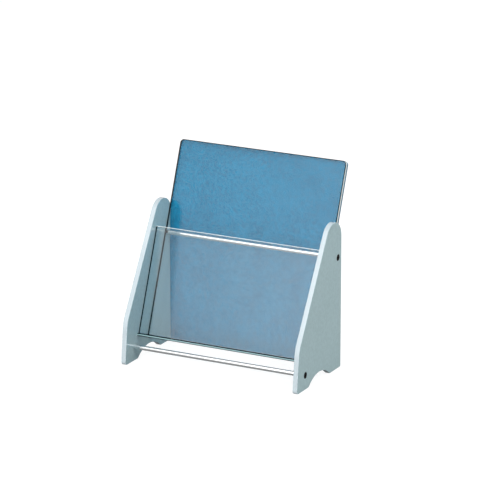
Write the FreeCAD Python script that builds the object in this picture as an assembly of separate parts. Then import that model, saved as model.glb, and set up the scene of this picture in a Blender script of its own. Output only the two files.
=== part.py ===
import FreeCAD, Part
import os
from math import cos, radians, sin, sqrt, tan

# Desk brochure stand with one leaning pocket for A4 portrait leaflets.
# Two light grey side panels carry everything: a clear back sheet, a clear front plate, a clear
# shelf plate and a bent blue back board are cemented between them, and two polished tie rods
# with four black countersunk screws pull the panels together.
# Lengths are in millimetres. X runs to the right, Y to the rear and Z up.
# The origin is on the table, under the middle of the whole stand.

# Side panels: outline
overall_width = 250.0
panel_thickness = 6.5
panel_depth = 124.0
panel_height = 195.5
panel_top_radius = 22.0
front_bend_height = 55.0
front_bend_setback = 6.0
front_bend_radius = 40.0
front_toe_radius = 4.0
rear_heel_radius = 1.5
front_foot_length = 33.0
rear_foot_length = 31.5
arch_height = 11.5
arch_end_radius = 4.0
panel_edge_round = 0.5

# Leaning pocket: lean from upright, and where the back sheet's front face meets the shelf,
# measured forward from the panels' rear edge and up from the table
sheet_lean_degrees = 21.0
sheet_foot_inset = 65.5
sheet_foot_height = 24.0
pocket_gap = 23.5

# Clear back sheet
back_sheet_thickness = 5.0
back_sheet_length = 256.0
back_sheet_corner_radius = 5.0

# Clear front plate
front_plate_thickness = 3.0
front_plate_length = 139.5
front_plate_corner_radius = 1.5

# Clear shelf plate under both
shelf_thickness = 3.0
shelf_lip = 3.0

# All clear sheets: polished edges
sheet_edge_round = 0.8

# Film of cement between the panels and each end of a sheet or the board
cement_film = 0.1

# Blue back board
board_thickness = 2.0
board_floor_gap = 0.5
board_bend_radius = 80.0
board_sheet_gap = 0.2
board_edge_round = 0.3

# Tie rods
rod_diameter = 6.0
rod_end_chamfer = 0.3
rear_rod_height = 147.0
rear_rod_sheet_gap = 0.2
front_rod_setback = 23.6
front_rod_height = 18.8

# Countersunk screws through the panels into the rod ends
screw_diameter = 4.0
screw_length = 16.0
screw_tip_chamfer = 0.6
screw_head_diameter = 8.4
screw_head_cone_degrees = 90.0
screw_head_land = 0.3
screw_head_sink = 0.1
screw_socket_width = 2.5
screw_socket_depth = 1.5
socket_sides = 6
rod_bore_clearance = 0.05
rod_bore_spare_depth = 1.0
panel_hole_clearance = 0.2

# How far cutting tools reach past what they cut
cut_overrun = 2.0

# Degrees
full_turn = 360

# Worked out from the sizes above
half_width = overall_width / 2
inner_half_width = half_width - panel_thickness
sheet_half_width = inner_half_width - cement_film
lean_sin = sin(radians(sheet_lean_degrees))
lean_cos = cos(radians(sheet_lean_degrees))
sheet_foot_setback = panel_depth - sheet_foot_inset
front_plate_front = pocket_gap + front_plate_thickness
board_lean_front = back_sheet_thickness + board_sheet_gap
board_lean_rear = board_lean_front + board_thickness
rod_radius = rod_diameter / 2
screw_top_x = half_width - screw_head_sink
screw_tip_x = screw_top_x - screw_length


def side(y, z):
    """Point of the side view, on the plane of symmetry."""
    return FreeCAD.Vector(0, y, z)


def leaned_point(back, up):
    """Side-view point from distances behind the back sheet's front face and up along it."""
    y = sheet_foot_setback + back * lean_cos + up * lean_sin
    z = sheet_foot_height - back * lean_sin + up * lean_cos
    return side(y, z)


def line(start, end):
    return Part.LineSegment(start, end).toShape()


def arc(centre, start, end):
    """Arc of less than half a turn about centre."""
    radius = (start - centre).Length
    halfway = (start - centre).normalize() + (end - centre).normalize()
    middle = centre + halfway.normalize() * radius
    return Part.Arc(start, middle, end).toShape()


def corner_arc(before, corner, after, radius):
    """Tangent arc that rounds a corner of two straight runs, with its two end points."""
    to_before = (before - corner).normalize()
    to_after = (after - corner).normalize()
    bisector = (to_before + to_after).normalize()
    cos_half = bisector.dot(to_before)
    sin_half = sqrt(1 - cos_half ** 2)
    centre = corner + bisector * (radius / sin_half)
    reach = radius * cos_half / sin_half
    start = corner + to_before * reach
    end = corner + to_after * reach
    return start, end, arc(centre, start, end)


def top_tangent(bend, centre):
    """Where the long front slope, rising from the bend, touches the round top."""
    run = centre - bend
    reach = sqrt(run.Length ** 2 - panel_top_radius ** 2)
    along = run * (reach / run.Length)
    across = side(-run.z, run.y) * (panel_top_radius / run.Length)
    return bend + (along + across) * (reach / run.Length)


def panel_outline():
    """Side view of a panel: two feet with an arch between, a leaning front and a round top."""
    toe = side(0, 0)
    bend = side(front_bend_setback, front_bend_height)
    heel = side(panel_depth, 0)
    top_centre = side(panel_depth - panel_top_radius, panel_height - panel_top_radius)
    slope_top = top_tangent(bend, top_centre)
    rear_top = top_centre + side(panel_top_radius, 0)

    arch_start = front_foot_length
    arch_end = panel_depth - rear_foot_length
    arch_middle = (arch_start + arch_end) / 2
    arch_half = (arch_end - arch_start) / 2
    arch_radius = (arch_half ** 2 + arch_height ** 2) / (2 * arch_height)
    arch_centre = side(arch_middle, arch_height - arch_radius)
    outer = arch_radius + arch_end_radius
    reach = sqrt(outer ** 2 - (arch_end_radius - arch_centre.z) ** 2)
    front_end_centre = side(arch_middle - reach, arch_end_radius)
    rear_end_centre = side(arch_middle + reach, arch_end_radius)
    share = arch_radius / outer
    arch_front = arch_centre + (front_end_centre - arch_centre) * share
    arch_rear = arch_centre + (rear_end_centre - arch_centre) * share
    front_floor = side(front_end_centre.y, 0)
    rear_floor = side(rear_end_centre.y, 0)

    toe_in, toe_out, toe_arc = corner_arc(bend, toe, front_floor, front_toe_radius)
    heel_in, heel_out, heel_arc = corner_arc(rear_floor, heel, rear_top, rear_heel_radius)
    bend_in, bend_out, bend_arc = corner_arc(slope_top, bend, toe, front_bend_radius)
    edges = [
        toe_arc,
        line(toe_out, front_floor),
        arc(front_end_centre, front_floor, arch_front),
        arc(arch_centre, arch_front, arch_rear),
        arc(rear_end_centre, arch_rear, rear_floor),
        line(rear_floor, heel_in),
        heel_arc,
        line(heel_out, rear_top),
        arc(top_centre, rear_top, slope_top),
        line(slope_top, bend_in),
        bend_arc,
        line(bend_out, toe_in),
    ]
    return Part.Wire(edges)


def rounded(solid, radius, edges):
    return solid.makeFillet(radius, edges)


def leaned(solid):
    """Turns a solid made upright at the origin to the lean of the pocket and sets it in place."""
    solid.rotate(FreeCAD.Vector(0, 0, 0), FreeCAD.Vector(1, 0, 0), -sheet_lean_degrees)
    solid.translate(side(sheet_foot_setback, sheet_foot_height))
    return solid


def top_corner_edges(solid, lowest):
    """Edges across a sheet's thickness at its two top corners, above a lowest height."""
    found = []
    for edge in solid.Edges:
        ends = [vertex.Point for vertex in edge.Vertexes]
        at_top = min(end.z for end in ends) > lowest
        same_side = ends[0].x * ends[1].x > 0
        if at_top and same_side:
            found.append(edge)
    return found


def clear_plate(front, rear, low, high, corner_radius):
    """Clear sheet with two round top corners and polished edges, leaned into place."""
    corner = FreeCAD.Vector(-sheet_half_width, front, low)
    plate = Part.makeBox(2 * sheet_half_width, rear - front, high - low, corner)
    if corner_radius > 0:
        plate = rounded(plate, corner_radius, top_corner_edges(plate, high - sheet_edge_round))
    plate = rounded(plate, sheet_edge_round, plate.Edges)
    return leaned(plate)


def back_sheet():
    return clear_plate(0, back_sheet_thickness, 0, back_sheet_length, back_sheet_corner_radius)


def front_plate():
    return clear_plate(-front_plate_front, -pocket_gap, 0, front_plate_length, front_plate_corner_radius)


def shelf_plate():
    front = -front_plate_front - shelf_lip
    return clear_plate(front, back_sheet_thickness, -shelf_thickness, 0, 0)


def rod_axes():
    """Side-view places of the two tie rods: behind the back sheet, and low at the front."""
    back = back_sheet_thickness + rear_rod_sheet_gap + rod_radius
    up = (rear_rod_height - sheet_foot_height + back * lean_sin) / lean_cos
    rear = leaned_point(back, up)
    front = side(front_rod_setback, front_rod_height)
    return {"rear": rear, "front": front}


def cylinder_along_x(radius, low_x, high_x, place):
    start = FreeCAD.Vector(low_x, place.y, place.z)
    return Part.makeCylinder(radius, high_x - low_x, start, FreeCAD.Vector(1, 0, 0))


def left_panel():
    """Left side panel, with its inner face towards the pocket."""
    panel = Part.Face(panel_outline()).extrude(FreeCAD.Vector(panel_thickness, 0, 0))
    rims = []
    for edge in panel.Edges:
        xs = [vertex.X for vertex in edge.Vertexes]
        if max(xs) - min(xs) < panel_edge_round:
            rims.append(edge)
    panel = rounded(panel, panel_edge_round, rims)
    panel.translate(FreeCAD.Vector(-half_width, 0, 0))
    for place in rod_axes().values():
        panel = panel.cut(mirrored(screw_hole(place)))
    return panel


def mirrored(solid):
    return solid.mirror(FreeCAD.Vector(0, 0, 0), FreeCAD.Vector(1, 0, 0))


def back_board():
    """Blue board: upright between the panels' rear edges, then bent back to follow the sheet."""
    outer_radius = board_bend_radius + board_thickness
    front_y = panel_depth - board_thickness
    centre_back = board_lean_front + outer_radius
    centre_y = front_y + outer_radius
    up = (centre_y - sheet_foot_setback - centre_back * lean_cos) / lean_sin
    centre = leaned_point(centre_back, up)
    foot_front = side(front_y, board_floor_gap)
    foot_rear = side(panel_depth, board_floor_gap)
    bend_front = side(front_y, centre.z)
    bend_rear = side(panel_depth, centre.z)
    lean_front = leaned_point(board_lean_front, up)
    lean_rear = leaned_point(board_lean_rear, up)
    top_front = leaned_point(board_lean_front, back_sheet_length)
    top_rear = leaned_point(board_lean_rear, back_sheet_length)
    outline = Part.Wire([
        line(foot_front, bend_front),
        arc(centre, bend_front, lean_front),
        line(lean_front, top_front),
        line(top_front, top_rear),
        line(top_rear, lean_rear),
        arc(centre, lean_rear, bend_rear),
        line(bend_rear, foot_rear),
        line(foot_rear, foot_front),
    ])
    board = Part.Face(outline).extrude(FreeCAD.Vector(2 * sheet_half_width, 0, 0))
    board.translate(FreeCAD.Vector(-sheet_half_width, 0, 0))
    corners = top_corner_edges(board, top_rear.z - board_edge_round)
    board = rounded(board, back_sheet_corner_radius, corners)
    return rounded(board, board_edge_round, board.Edges)


def tie_rod(place):
    """Polished rod between the panels' inner faces, bored at both ends for a screw."""
    rod = cylinder_along_x(rod_radius, -inner_half_width, inner_half_width, place)
    rims = [edge for edge in rod.Edges if len(edge.Vertexes) == 1]
    rod = rod.makeChamfer(rod_end_chamfer, rims)
    bore_radius = screw_diameter / 2 + rod_bore_clearance
    depth = inner_half_width - screw_tip_x + rod_bore_spare_depth
    for low_x in (-inner_half_width - cut_overrun, inner_half_width - depth):
        bore = cylinder_along_x(bore_radius, low_x, low_x + depth + cut_overrun, place)
        rod = rod.cut(bore)
    return rod


def turned(profile, place):
    """Solid turned about an axis along X, from its places along the axis with their radii."""
    points = [FreeCAD.Vector(x, radius, 0) for x, radius in profile]
    section = Part.Face(Part.makePolygon(points + points[:1]))
    solid = section.revolve(FreeCAD.Vector(0, 0, 0), FreeCAD.Vector(1, 0, 0), full_turn)
    solid.translate(place)
    return solid


def head_cone_x(radius):
    """Where along a right screw's axis the cone under its head has this radius."""
    steepness = tan(radians(screw_head_cone_degrees / 2))
    return screw_top_x - screw_head_land - (screw_head_diameter / 2 - radius) / steepness


def screw_hole(place):
    """Clearance hole through the right panel, countersunk from its outer face."""
    hole_radius = screw_diameter / 2 + panel_hole_clearance
    rim_radius = screw_head_diameter / 2 + panel_hole_clearance
    outside = half_width + cut_overrun
    return turned([
        (0, 0),
        (0, hole_radius),
        (head_cone_x(hole_radius), hole_radius),
        (head_cone_x(rim_radius), rim_radius),
        (outside, rim_radius),
        (outside, 0),
    ], place)


def hexagon_socket(bottom_x, top_x, place):
    """Hexagonal pocket for a key, along X."""
    socket_radius = screw_socket_width / 2 / cos(radians(full_turn / socket_sides / 2))
    points = []
    for step in range(socket_sides + 1):
        angle = radians(step * full_turn / socket_sides)
        points.append(place + side(socket_radius * cos(angle), socket_radius * sin(angle)))
    wire = Part.makePolygon(points)
    wire.translate(FreeCAD.Vector(bottom_x, 0, 0))
    return Part.Face(wire).extrude(FreeCAD.Vector(top_x - bottom_x, 0, 0))


def right_screw(place):
    """Countersunk socket screw with its head just below the right panel's outer face."""
    shank_radius = screw_diameter / 2
    head_radius = screw_head_diameter / 2
    screw = turned([
        (screw_tip_x, 0),
        (screw_tip_x, shank_radius - screw_tip_chamfer),
        (screw_tip_x + screw_tip_chamfer, shank_radius),
        (head_cone_x(shank_radius), shank_radius),
        (head_cone_x(head_radius), head_radius),
        (screw_top_x, head_radius),
        (screw_top_x, 0),
    ], place)
    return screw.cut(hexagon_socket(screw_top_x - screw_socket_depth, half_width, place))


def build():
    """Every piece by name, in the side panels' frame."""
    left = left_panel()
    pieces = {
        "left_side_panel": left,
        "right_side_panel": mirrored(left),
        "back_board": back_board(),
        "back_sheet": back_sheet(),
        "front_plate": front_plate(),
        "shelf_plate": shelf_plate(),
    }
    for name, place in rod_axes().items():
        screw = right_screw(place)
        pieces[name + "_tie_rod"] = tie_rod(place)
        pieces[name + "_right_screw"] = screw
        pieces[name + "_left_screw"] = mirrored(screw)
    return pieces


os.makedirs("parts", exist_ok=True)
frontmost = panel_outline().BoundBox.YMin
rearmost = leaned_point(board_lean_rear, back_sheet_length).y
print("moved to the middle by", -(frontmost + rearmost) / 2)
for name, piece in build().items():
    piece.translate(side(-(frontmost + rearmost) / 2, 0))
    piece.exportStep("parts/" + name + ".step")
    print(name, "solids", len(piece.Solids), "valid", piece.isValid(), "volume", round(piece.Volume))
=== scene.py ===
from math import cos, radians, sin

import bpy
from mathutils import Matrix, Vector

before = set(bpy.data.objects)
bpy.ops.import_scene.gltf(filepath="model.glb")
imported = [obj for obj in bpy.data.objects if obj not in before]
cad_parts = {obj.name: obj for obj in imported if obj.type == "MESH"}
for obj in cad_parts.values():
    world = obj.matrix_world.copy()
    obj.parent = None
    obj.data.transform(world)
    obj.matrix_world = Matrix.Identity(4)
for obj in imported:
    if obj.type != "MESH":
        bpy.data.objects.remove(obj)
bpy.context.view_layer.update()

# Looks of a desk brochure stand: satin light grey side panels, clear cast acrylic sheets,
# a blue board behind them, polished tie rods and black screws. Lengths are in metres.

MM = 0.001

# Camera, as the photograph was taken: a long lens from the front right, a little above
VIEW_AZIMUTH = 27.32
VIEW_ELEVATION = 17.05
VIEW_DISTANCE = 4.018
VIEW_AIM = Vector((0.0251, -0.0118, 0.1559))
LENS_MM = 230.5
SENSOR_MM = 36.0

# Colours, as sRGB hex
PANEL_GREY = "#B6D2D7"
PANEL_GREY_LIGHT = "#BFDBE0"
# Painted shade: the side panels' routed edges get this greyer, darker tone than their faces, to tone down
# the light they catch
PANEL_EDGE_PAINTED_SHADE = "#BBC8CE"
BOARD_BLUE = "#005F82"
BOARD_BLUE_LIGHT = "#057AA1"
ACRYLIC_WATER = "#FEFFFF"
# Painted light on the clear sheets' edges: grey-green on the edges and near white on the ends, for light
# carried through the sheet
ACRYLIC_EDGE_PAINTED_LIGHT = "#86A5A8"
ACRYLIC_END_PAINTED_LIGHT = "#F4FFFF"
# Painted shade: dark teal for the dark lines along the clear sheets' edges and roundings
ACRYLIC_PAINTED_SHADE = "#08222B"
ROD_ALUMINIUM = "#F4F5F6"
SCREW_BLACK = "#060607"
FLOOR_WHITE = "#838382"
STUDIO_WHITE = "#FFFFFF"

# Sizes of the patterns. Those with COARSE in their name are drawn coarser than the real ones, to show
PANEL_CLOUD = 60 * MM
PANEL_COARSE_GRAIN = 3.5 * MM
PANEL_ORANGE_PEEL = 0.9 * MM
BOARD_CLOUD = 45 * MM
BOARD_COARSE_GRAIN = 3.5 * MM
BOARD_COARSE_PEBBLE = 2.5 * MM
SKIN_RELIEF = 0.04 * MM
ACRYLIC_WAVE = 60 * MM
EDGE_FLAME_RIPPLE = 6 * MM
ROD_DRAWING_LINE = 0.8 * MM
ROD_LINE_STRETCH = 50
SCREW_GRAIN = 0.7 * MM

# Mottling: how much of it is grain and not cloud, and the noise values where it is darkest and lightest
GRAIN_SHARE = 0.75
MOTTLE_DARKEST = 0.36
MOTTLE_LIGHTEST = 0.64

# How squarely a face of a clear sheet looks the way of the wide faces, from 0 to 1: wide faces lie above
# the first value, edges and ends below the second, and the roundings between
WIDE_FACE_ABOVE = 0.999
EDGE_FACE_BELOW = 0.05

# The studio: its table top and its light
FLOOR_REACH = 12.0
FLOOR_GLOW = 0.87
FLOOR_GLOW_MIRRORED = 0.08
ROOM_LIGHT = 0.4
CEILING_MIRRORED = 0.3
BRIGHT_WALL_MIRRORED = 1.85
RIGHT_WALL_MIRRORED = 0.3

# Soft boxes: azimuth and elevation in degrees, distance and size in metres, watts, shown in reflections
LAMPS = {
    "key_front": (-2, 14, 1.8, 0.9, 26, False),
    "fill_front_left_high": (-30, 50, 1.8, 1.0, 4, True),
    "fill_front_right_high": (50, 50, 1.8, 1.0, 11, True),
    "fill_right_low": (108, 8, 2.0, 0.8, 4.5, True),
    "fill_left_low": (-108, 8, 2.0, 0.8, 5, True),
    "fill_rear_high": (170, 40, 2.2, 1.2, 21, True),
}

# Sockets of the Mix node go by number, because their names repeat
MIX_FACTOR = 0
NUMBER_A, NUMBER_B, MIXED_NUMBER = 2, 3, 0
COLOUR_A, COLOUR_B, MIXED_COLOUR = 6, 7, 2


def linear(hex_colour):
    """Linear RGBA of an sRGB hex value."""
    channels = []
    for start in (1, 3, 5):
        value = int(hex_colour[start:start + 2], 16) / 255
        channels.append(value / 12.92 if value <= 0.04045 else ((value + 0.055) / 1.055) ** 2.4)
    return (*channels, 1.0)


def add(tree, kind, settings=None, links=None):
    """Adds a node, sets its inputs and properties, and links its inputs from other nodes' outputs."""
    node = tree.nodes.new(kind)
    for name, value in (settings or {}).items():
        if isinstance(name, int) or name in node.inputs:
            node.inputs[name].default_value = value
        else:
            setattr(node, name, value)
    for name, source in (links or {}).items():
        tree.links.new(source, node.inputs[name])
    return node


def new_material(name):
    """Material without any nodes yet."""
    material = bpy.data.materials.new(name)
    material.use_nodes = True
    material.node_tree.nodes.clear()
    return material


def finish_material(material, shader):
    """Gives a material its surface."""
    add(material.node_tree, "ShaderNodeOutputMaterial", links={"Surface": shader})
    return material


def dress(node_name, material):
    """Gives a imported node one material."""
    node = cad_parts[node_name]
    node.data.materials.clear()
    node.data.materials.append(material)


def dress_sheet(node_name, clear, edge, rim):
    """Gives a clear sheet its three finishes: the two wide faces clear, the edges and ends their painted
    light and shade, and the narrow roundings between them dark, a painted shade."""
    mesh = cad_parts[node_name].data
    mesh.materials.clear()
    for material in (clear, edge, rim):
        mesh.materials.append(material)
    wide = max(mesh.polygons, key=lambda face: face.area).normal.copy()
    for face in mesh.polygons:
        towards_wide = abs(face.normal.dot(wide))
        if towards_wide > WIDE_FACE_ABOVE:
            face.material_index = 0
        elif towards_wide < EDGE_FACE_BELOW:
            face.material_index = 1
        else:
            face.material_index = 2


def mottle(tree, place, cloud_size, grain_size):
    """Large soft clouds with a grain over them, from 0 to 1."""
    cloud = add(tree, "ShaderNodeTexNoise", {"Scale": 1 / cloud_size, "Detail": 4.0},
                {"Vector": place.outputs["Object"]})
    grain = add(tree, "ShaderNodeTexNoise", {"Scale": 1 / grain_size, "Detail": 2.0},
                {"Vector": place.outputs["Object"]})
    both = add(tree, "ShaderNodeMix", {MIX_FACTOR: GRAIN_SHARE},
               {NUMBER_A: cloud.outputs["Fac"], NUMBER_B: grain.outputs["Fac"]})
    spread = add(tree, "ShaderNodeMapRange", {"From Min": MOTTLE_DARKEST, "From Max": MOTTLE_LIGHTEST},
                 {"Value": both.outputs[MIXED_NUMBER]})
    return spread.outputs[0]


def sideways(tree, place):
    """1 on faces that look to the left or right of the stand, down to 0 on faces square to those."""
    turn = add(tree, "ShaderNodeSeparateXYZ", links={0: place.outputs["Normal"]})
    return add(tree, "ShaderNodeMath", {"operation": "ABSOLUTE"}, {0: turn.outputs["X"]}).outputs[0]


def styrene_sheet_satin_grey():
    """High-impact styrene sheet, routed and buffed: cool light grey with a very fine orange peel, satin.
    The routed edges carry painted shade:
    a greyer, darker tone than the faces, which tones down the light they catch. Its faint mottling is drawn
    coarser than it is, to show."""
    material = new_material("styrene_sheet_satin_grey")
    tree = material.node_tree
    place = add(tree, "ShaderNodeTexCoord")
    peel = add(tree, "ShaderNodeTexNoise", {"Scale": 1 / PANEL_ORANGE_PEEL, "Detail": 2.0},
               {"Vector": place.outputs["Object"]})
    face = add(tree, "ShaderNodeMix",
               {"data_type": "RGBA", COLOUR_A: linear(PANEL_GREY), COLOUR_B: linear(PANEL_GREY_LIGHT)},
               {MIX_FACTOR: mottle(tree, place, PANEL_CLOUD, PANEL_COARSE_GRAIN)})
    wide = add(tree, "ShaderNodeMapRange", {"From Min": 0.5, "From Max": 0.95},
               {"Value": sideways(tree, place)})
    # Painted shade: edges and ends take the darker edge tone, faces that look left or right the face colour
    colour = add(tree, "ShaderNodeMix", {"data_type": "RGBA", COLOUR_A: linear(PANEL_EDGE_PAINTED_SHADE)},
                 {MIX_FACTOR: wide.outputs[0], COLOUR_B: face.outputs[MIXED_COLOUR]})
    rough = add(tree, "ShaderNodeMapRange", {"To Min": 0.05, "To Max": 0.11},
                {"Value": peel.outputs["Fac"]})
    bump = add(tree, "ShaderNodeBump", {"Strength": 0.06, "Distance": SKIN_RELIEF},
               {"Height": peel.outputs["Fac"]})
    shader = add(tree, "ShaderNodeBsdfPrincipled", {"IOR": 1.55},
                 {"Base Color": colour.outputs[MIXED_COLOUR], "Roughness": rough.outputs[0],
                  "Normal": bump.outputs[0]})
    return finish_material(material, shader.outputs[0])


def abs_sheet_extruded_blue():
    """ABS sheet, bent hot once: deep blue, half matt, with the faint cloudiness of extruded sheet. The
    pebble grain of its skin, about half a millimetre, is drawn coarser than it is, so that it shows."""
    material = new_material("abs_sheet_extruded_blue")
    tree = material.node_tree
    place = add(tree, "ShaderNodeTexCoord")
    pebble = add(tree, "ShaderNodeTexNoise", {"Scale": 1 / BOARD_COARSE_PEBBLE, "Detail": 2.0},
                 {"Vector": place.outputs["Object"]})
    colour = add(tree, "ShaderNodeMix",
                 {"data_type": "RGBA", COLOUR_A: linear(BOARD_BLUE), COLOUR_B: linear(BOARD_BLUE_LIGHT)},
                 {MIX_FACTOR: mottle(tree, place, BOARD_CLOUD, BOARD_COARSE_GRAIN)})
    rough = add(tree, "ShaderNodeMapRange", {"To Min": 0.55, "To Max": 0.7},
                {"Value": pebble.outputs["Fac"]})
    bump = add(tree, "ShaderNodeBump", {"Strength": 0.06, "Distance": SKIN_RELIEF},
               {"Height": pebble.outputs["Fac"]})
    shader = add(tree, "ShaderNodeBsdfPrincipled", {"IOR": 1.52, "Specular IOR Level": 0.05},
                 {"Base Color": colour.outputs[MIXED_COLOUR], "Roughness": rough.outputs[0],
                  "Normal": bump.outputs[0]})
    return finish_material(material, shader.outputs[0])


def acrylic_cast_clear():
    """Cast acrylic: clear as water and glossy, with the faintest waves. The lamps' light passes straight
    through to what stands behind it."""
    material = new_material("acrylic_cast_clear")
    tree = material.node_tree
    place = add(tree, "ShaderNodeTexCoord")
    wave = add(tree, "ShaderNodeTexNoise", {"Scale": 1 / ACRYLIC_WAVE, "Detail": 1.0},
               {"Vector": place.outputs["Object"]})
    rough = add(tree, "ShaderNodeMapRange", {"To Min": 0.0, "To Max": 0.005},
                {"Value": wave.outputs["Fac"]})
    glass = add(tree, "ShaderNodeBsdfPrincipled",
                {"Base Color": linear(ACRYLIC_WATER), "IOR": 1.49, "Transmission Weight": 1.0},
                {"Roughness": rough.outputs[0]})
    clear = add(tree, "ShaderNodeBsdfTransparent", {"Color": linear(ACRYLIC_WATER)})
    ray = add(tree, "ShaderNodeLightPath")
    lamps = add(tree, "ShaderNodeMixShader",
                links={0: ray.outputs["Is Shadow Ray"], 1: glass.outputs[0], 2: clear.outputs[0]})
    room = add(tree, "ShaderNodeMixShader",
               links={0: ray.outputs["Is Diffuse Ray"], 1: lamps.outputs[0], 2: clear.outputs[0]})
    return finish_material(material, room.outputs[0])


def acrylic_edge_painted_light_and_shade():
    """Flame-polished edge of cast acrylic, with painted light and shade: from outside the edges are painted
    grey-green and the ends of the long sheets near white, painted light for light carried through the
    sheet; seen through the sheet it is painted dark, a painted shade line."""
    material = new_material("acrylic_edge_painted_light_and_shade")
    tree = material.node_tree
    place = add(tree, "ShaderNodeTexCoord")
    ripple = add(tree, "ShaderNodeTexNoise", {"Scale": 1 / EDGE_FLAME_RIPPLE, "Detail": 2.0},
                 {"Vector": place.outputs["Object"]})
    # Painted light: the edges grey-green, the ends near white
    colour = add(tree, "ShaderNodeMix",
                 {"data_type": "RGBA", COLOUR_A: linear(ACRYLIC_EDGE_PAINTED_LIGHT), COLOUR_B: linear(ACRYLIC_END_PAINTED_LIGHT)},
                 {MIX_FACTOR: sideways(tree, place)})
    rough = add(tree, "ShaderNodeMapRange", {"To Min": 0.08, "To Max": 0.18},
                {"Value": ripple.outputs["Fac"]})
    outside = add(tree, "ShaderNodeBsdfPrincipled", {"IOR": 1.49},
                  {"Base Color": colour.outputs[MIXED_COLOUR], "Roughness": rough.outputs[0]})
    # Painted shade: the edge seen from inside the sheet is a dark diffuse colour
    inside = add(tree, "ShaderNodeBsdfDiffuse", {"Color": linear(ACRYLIC_PAINTED_SHADE)})
    geometry = add(tree, "ShaderNodeNewGeometry")
    both = add(tree, "ShaderNodeMixShader",
               links={0: geometry.outputs["Backfacing"], 1: outside.outputs[0], 2: inside.outputs[0]})
    return finish_material(material, both.outputs[0])


def acrylic_rim_rounded(name, painted_reflection_colour):
    """Rounding of a polished acrylic edge, its look painted: a dark colour, painted shade, draws a thin
    dark line round each sheet where a rounding bends the light away. Where it looks up, it is painted the
    given colour instead, a painted reflection of the bright ceiling."""
    material = new_material(name)
    tree = material.node_tree
    place = add(tree, "ShaderNodeTexCoord")
    ripple = add(tree, "ShaderNodeTexNoise", {"Scale": 1 / EDGE_FLAME_RIPPLE, "Detail": 2.0},
                 {"Vector": place.outputs["Object"]})
    rough = add(tree, "ShaderNodeMapRange", {"To Min": 0.3, "To Max": 0.4},
                {"Value": ripple.outputs["Fac"]})
    turn = add(tree, "ShaderNodeSeparateXYZ", links={0: place.outputs["Normal"]})
    painted_reflection_mask = add(tree, "ShaderNodeMapRange", {"From Min": 0.4, "From Max": 0.7},
                 {"Value": turn.outputs["Z"]})
    # Painted shade all round, and a painted reflection of the ceiling where the rounding looks up
    colour = add(tree, "ShaderNodeMix",
                 {"data_type": "RGBA", COLOUR_A: linear(ACRYLIC_PAINTED_SHADE), COLOUR_B: linear(painted_reflection_colour)},
                 {MIX_FACTOR: painted_reflection_mask.outputs[0]})
    shader = add(tree, "ShaderNodeBsdfPrincipled", {"IOR": 1.49, "Specular IOR Level": 0.0},
                 {"Base Color": colour.outputs[MIXED_COLOUR], "Roughness": rough.outputs[0]})
    return finish_material(material, shader.outputs[0])


def aluminium_rod_polished():
    """Aluminium rod, drawn and polished: bright, with faint lines along it."""
    material = new_material("aluminium_rod_polished")
    tree = material.node_tree
    place = add(tree, "ShaderNodeTexCoord")
    along = add(tree, "ShaderNodeMapping", {"Scale": (1 / ROD_LINE_STRETCH, 1.0, 1.0)},
                {"Vector": place.outputs["Object"]})
    lines = add(tree, "ShaderNodeTexNoise", {"Scale": 1 / ROD_DRAWING_LINE, "Detail": 2.0},
                {"Vector": along.outputs[0]})
    rough = add(tree, "ShaderNodeMapRange", {"To Min": 0.06, "To Max": 0.14},
                {"Value": lines.outputs["Fac"]})
    shader = add(tree, "ShaderNodeBsdfPrincipled", {"Base Color": linear(ROD_ALUMINIUM), "Metallic": 1.0},
                 {"Roughness": rough.outputs[0]})
    return finish_material(material, shader.outputs[0])


def screw_steel_black_oxide():
    """Screw steel with a black oxide skin: dark, half matt, a little uneven."""
    material = new_material("screw_steel_black_oxide")
    tree = material.node_tree
    place = add(tree, "ShaderNodeTexCoord")
    grain = add(tree, "ShaderNodeTexNoise", {"Scale": 1 / SCREW_GRAIN, "Detail": 3.0},
                {"Vector": place.outputs["Object"]})
    rough = add(tree, "ShaderNodeMapRange", {"To Min": 0.5, "To Max": 0.7},
                {"Value": grain.outputs["Fac"]})
    shader = add(tree, "ShaderNodeBsdfPrincipled",
                 {"Base Color": linear(SCREW_BLACK), "Specular IOR Level": 0.2},
                 {"Roughness": rough.outputs[0]})
    return finish_material(material, shader.outputs[0])


def studio_ray(tree):
    """1 for rays that show the studio itself: seen directly, in a reflection or through a clear sheet."""
    ray = add(tree, "ShaderNodeLightPath")
    first = add(tree, "ShaderNodeMath", {"operation": "MAXIMUM"},
                {0: ray.outputs["Is Camera Ray"], 1: ray.outputs["Is Glossy Ray"]})
    return add(tree, "ShaderNodeMath", {"operation": "MAXIMUM"},
               {0: first.outputs[0], 1: ray.outputs["Is Transmission Ray"]}).outputs[0]


def mirrored_ray(tree):
    """1 for rays that some glossy surface has turned on their way, also where they then pass a sheet."""
    ray = add(tree, "ShaderNodeLightPath")
    once = add(tree, "ShaderNodeMath", {"operation": "MINIMUM", 1: 1.0}, {0: ray.outputs["Glossy Depth"]})
    return once.outputs[0]


def studio_floor():
    """White table top, wide enough to fill every view, that keeps the stand's soft shadow."""
    mesh = bpy.data.meshes.new("studio_floor")
    corners = [(-FLOOR_REACH, -FLOOR_REACH, 0), (FLOOR_REACH, -FLOOR_REACH, 0),
               (FLOOR_REACH, FLOOR_REACH, 0), (-FLOOR_REACH, FLOOR_REACH, 0)]
    mesh.from_pydata(corners, [], [(0, 1, 2, 3)])
    floor = bpy.data.objects.new("studio_floor", mesh)
    bpy.context.scene.collection.objects.link(floor)
    mesh.materials.append(table_top_white_paper())


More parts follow.
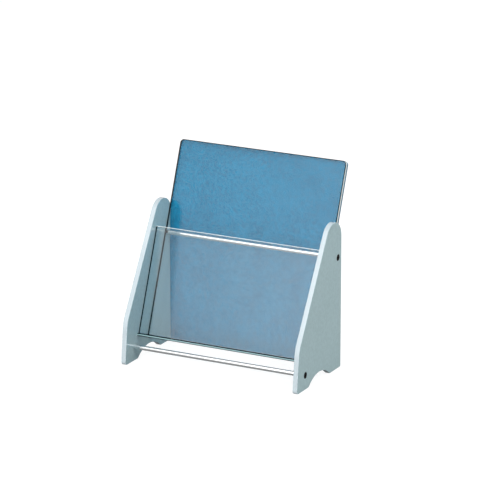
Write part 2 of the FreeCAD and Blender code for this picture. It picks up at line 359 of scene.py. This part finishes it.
def table_top_white_paper():
    """White paper on the table: matt, and lit up to the white of the room where it shows."""
    material = new_material("table_top_white_paper")
    tree = material.node_tree
    matt = add(tree, "ShaderNodeBsdfDiffuse", {"Color": linear(FLOOR_WHITE)})
    shown = add(tree, "ShaderNodeMapRange", {"To Min": FLOOR_GLOW, "To Max": FLOOR_GLOW_MIRRORED},
                {"Value": mirrored_ray(tree)})
    lift = add(tree, "ShaderNodeMath", {"operation": "MULTIPLY"},
               {0: studio_ray(tree), 1: shown.outputs[0]})
    glow = add(tree, "ShaderNodeEmission", {"Color": linear(STUDIO_WHITE)}, {"Strength": lift.outputs[0]})
    both = add(tree, "ShaderNodeAddShader", links={0: matt.outputs[0], 1: glow.outputs[0]})
    return finish_material(material, both.outputs[0])


def mirrored_walls(tree):
    """Brightness of the studio in reflections, by direction: white, with a darker ceiling, a wall that is
    brightest a little left of the middle, and dimmer to the right."""
    place = add(tree, "ShaderNodeTexCoord")
    towards = add(tree, "ShaderNodeSeparateXYZ", links={0: place.outputs["Generated"]})
    ceiling = add(tree, "ShaderNodeMapRange",
                  {"From Min": 0.45, "From Max": 0.95, "To Min": 1.0, "To Max": CEILING_MIRRORED},
                  {"Value": towards.outputs["Z"]})
    bright = add(tree, "ShaderNodeMapRange",
                 {"From Min": -0.47, "From Max": -0.39, "To Min": 1.0, "To Max": BRIGHT_WALL_MIRRORED},
                 {"Value": towards.outputs["X"]})
    right = add(tree, "ShaderNodeMapRange",
                {"From Min": -0.2, "From Max": 0.2, "To Min": 1.0, "To Max": RIGHT_WALL_MIRRORED},
                {"Value": towards.outputs["X"]})
    walls = add(tree, "ShaderNodeMath", {"operation": "MULTIPLY"},
                {0: bright.outputs[0], 1: right.outputs[0]})
    return add(tree, "ShaderNodeMath", {"operation": "MULTIPLY"},
               {0: ceiling.outputs[0], 1: walls.outputs[0]}).outputs[0]


def studio_world():
    """White studio round the stand: a plain soft light from every side, plain white where it shows."""
    world = bpy.data.worlds.new("studio")
    bpy.context.scene.world = world
    world.use_nodes = True
    tree = world.node_tree
    tree.nodes.clear()
    shown = add(tree, "ShaderNodeMix", {NUMBER_A: 1.0},
                {MIX_FACTOR: mirrored_ray(tree), NUMBER_B: mirrored_walls(tree)})
    strength = add(tree, "ShaderNodeMix", {NUMBER_A: ROOM_LIGHT},
                   {MIX_FACTOR: studio_ray(tree), NUMBER_B: shown.outputs[MIXED_NUMBER]})
    glow = add(tree, "ShaderNodeBackground", {"Color": linear(STUDIO_WHITE)},
               {"Strength": strength.outputs[MIXED_NUMBER]})
    add(tree, "ShaderNodeOutputWorld", links={"Surface": glow.outputs[0]})


def direction_from_stand(azimuth, elevation):
    """Unit vector from the stand towards a viewer or lamp. Azimuth 0 is in front, positive to the right."""
    turn, rise = radians(azimuth), radians(elevation)
    return Vector((sin(turn) * cos(rise), -cos(turn) * cos(rise), sin(rise)))


def aim_at_stand(holder, azimuth, elevation, distance):
    """Puts a camera or lamp round the middle of the stand, looking at it."""
    out = direction_from_stand(azimuth, elevation)
    holder.location = VIEW_AIM + out * distance
    holder.rotation_euler = out.to_track_quat("Z", "Y").to_euler()
    bpy.context.scene.collection.objects.link(holder)


def soft_lamp(name, azimuth, elevation, distance, size, watts, shown_in_reflections):
    """Square soft box that is never seen directly."""
    lamp = bpy.data.lights.new(name, "AREA")
    lamp.shape = "SQUARE"
    lamp.size = size
    lamp.energy = watts
    holder = bpy.data.objects.new(name, lamp)
    holder.visible_camera = False
    holder.visible_glossy = shown_in_reflections
    aim_at_stand(holder, azimuth, elevation, distance)


def photo_camera():
    """Camera that sees the stand as the photograph does."""
    lens = bpy.data.cameras.new("photo_camera")
    lens.lens = LENS_MM
    lens.sensor_width = SENSOR_MM
    camera = bpy.data.objects.new("photo_camera", lens)
    aim_at_stand(camera, VIEW_AZIMUTH, VIEW_ELEVATION, VIEW_DISTANCE)
    bpy.context.scene.camera = camera


def light_paths():
    """Bounces enough for light that passes the sheets, is mirrored and passes them again."""
    cycles = bpy.context.scene.cycles
    cycles.max_bounces = 24
    cycles.glossy_bounces = 16
    cycles.transmission_bounces = 24


def dress_stand():
    """Gives every piece of the stand its finish."""
    grey = styrene_sheet_satin_grey()
    aluminium = aluminium_rod_polished()
    black = screw_steel_black_oxide()
    for side in ("left", "right"):
        dress(f"{side}_side_panel", grey)
    for end in ("front", "rear"):
        dress(f"{end}_tie_rod", aluminium)
        for side in ("left", "right"):
            dress(f"{end}_{side}_screw", black)
    dress("back_board", abs_sheet_extruded_blue())
    clear = acrylic_cast_clear()
    # The clear sheets' edges, ends and roundings carry painted light and shade; the front plate's roundings
    # a painted reflection where they look up
    edge = acrylic_edge_painted_light_and_shade()
    rim = acrylic_rim_rounded("acrylic_rim_painted_shade", ACRYLIC_PAINTED_SHADE)
    rim_painted_reflection = acrylic_rim_rounded("acrylic_rim_painted_reflection_above", ACRYLIC_END_PAINTED_LIGHT)
    dress_sheet("back_sheet", clear, edge, rim)
    dress_sheet("front_plate", clear, edge, rim_painted_reflection)
    dress_sheet("shelf_plate", clear, edge, rim)


photo_camera()
studio_world()
studio_floor()
for lamp_name, lamp_values in LAMPS.items():
    soft_lamp(lamp_name, *lamp_values)
light_paths()
bpy.context.scene.view_settings.view_transform = "Standard"
dress_stand()

bpy.context.view_layer.update()
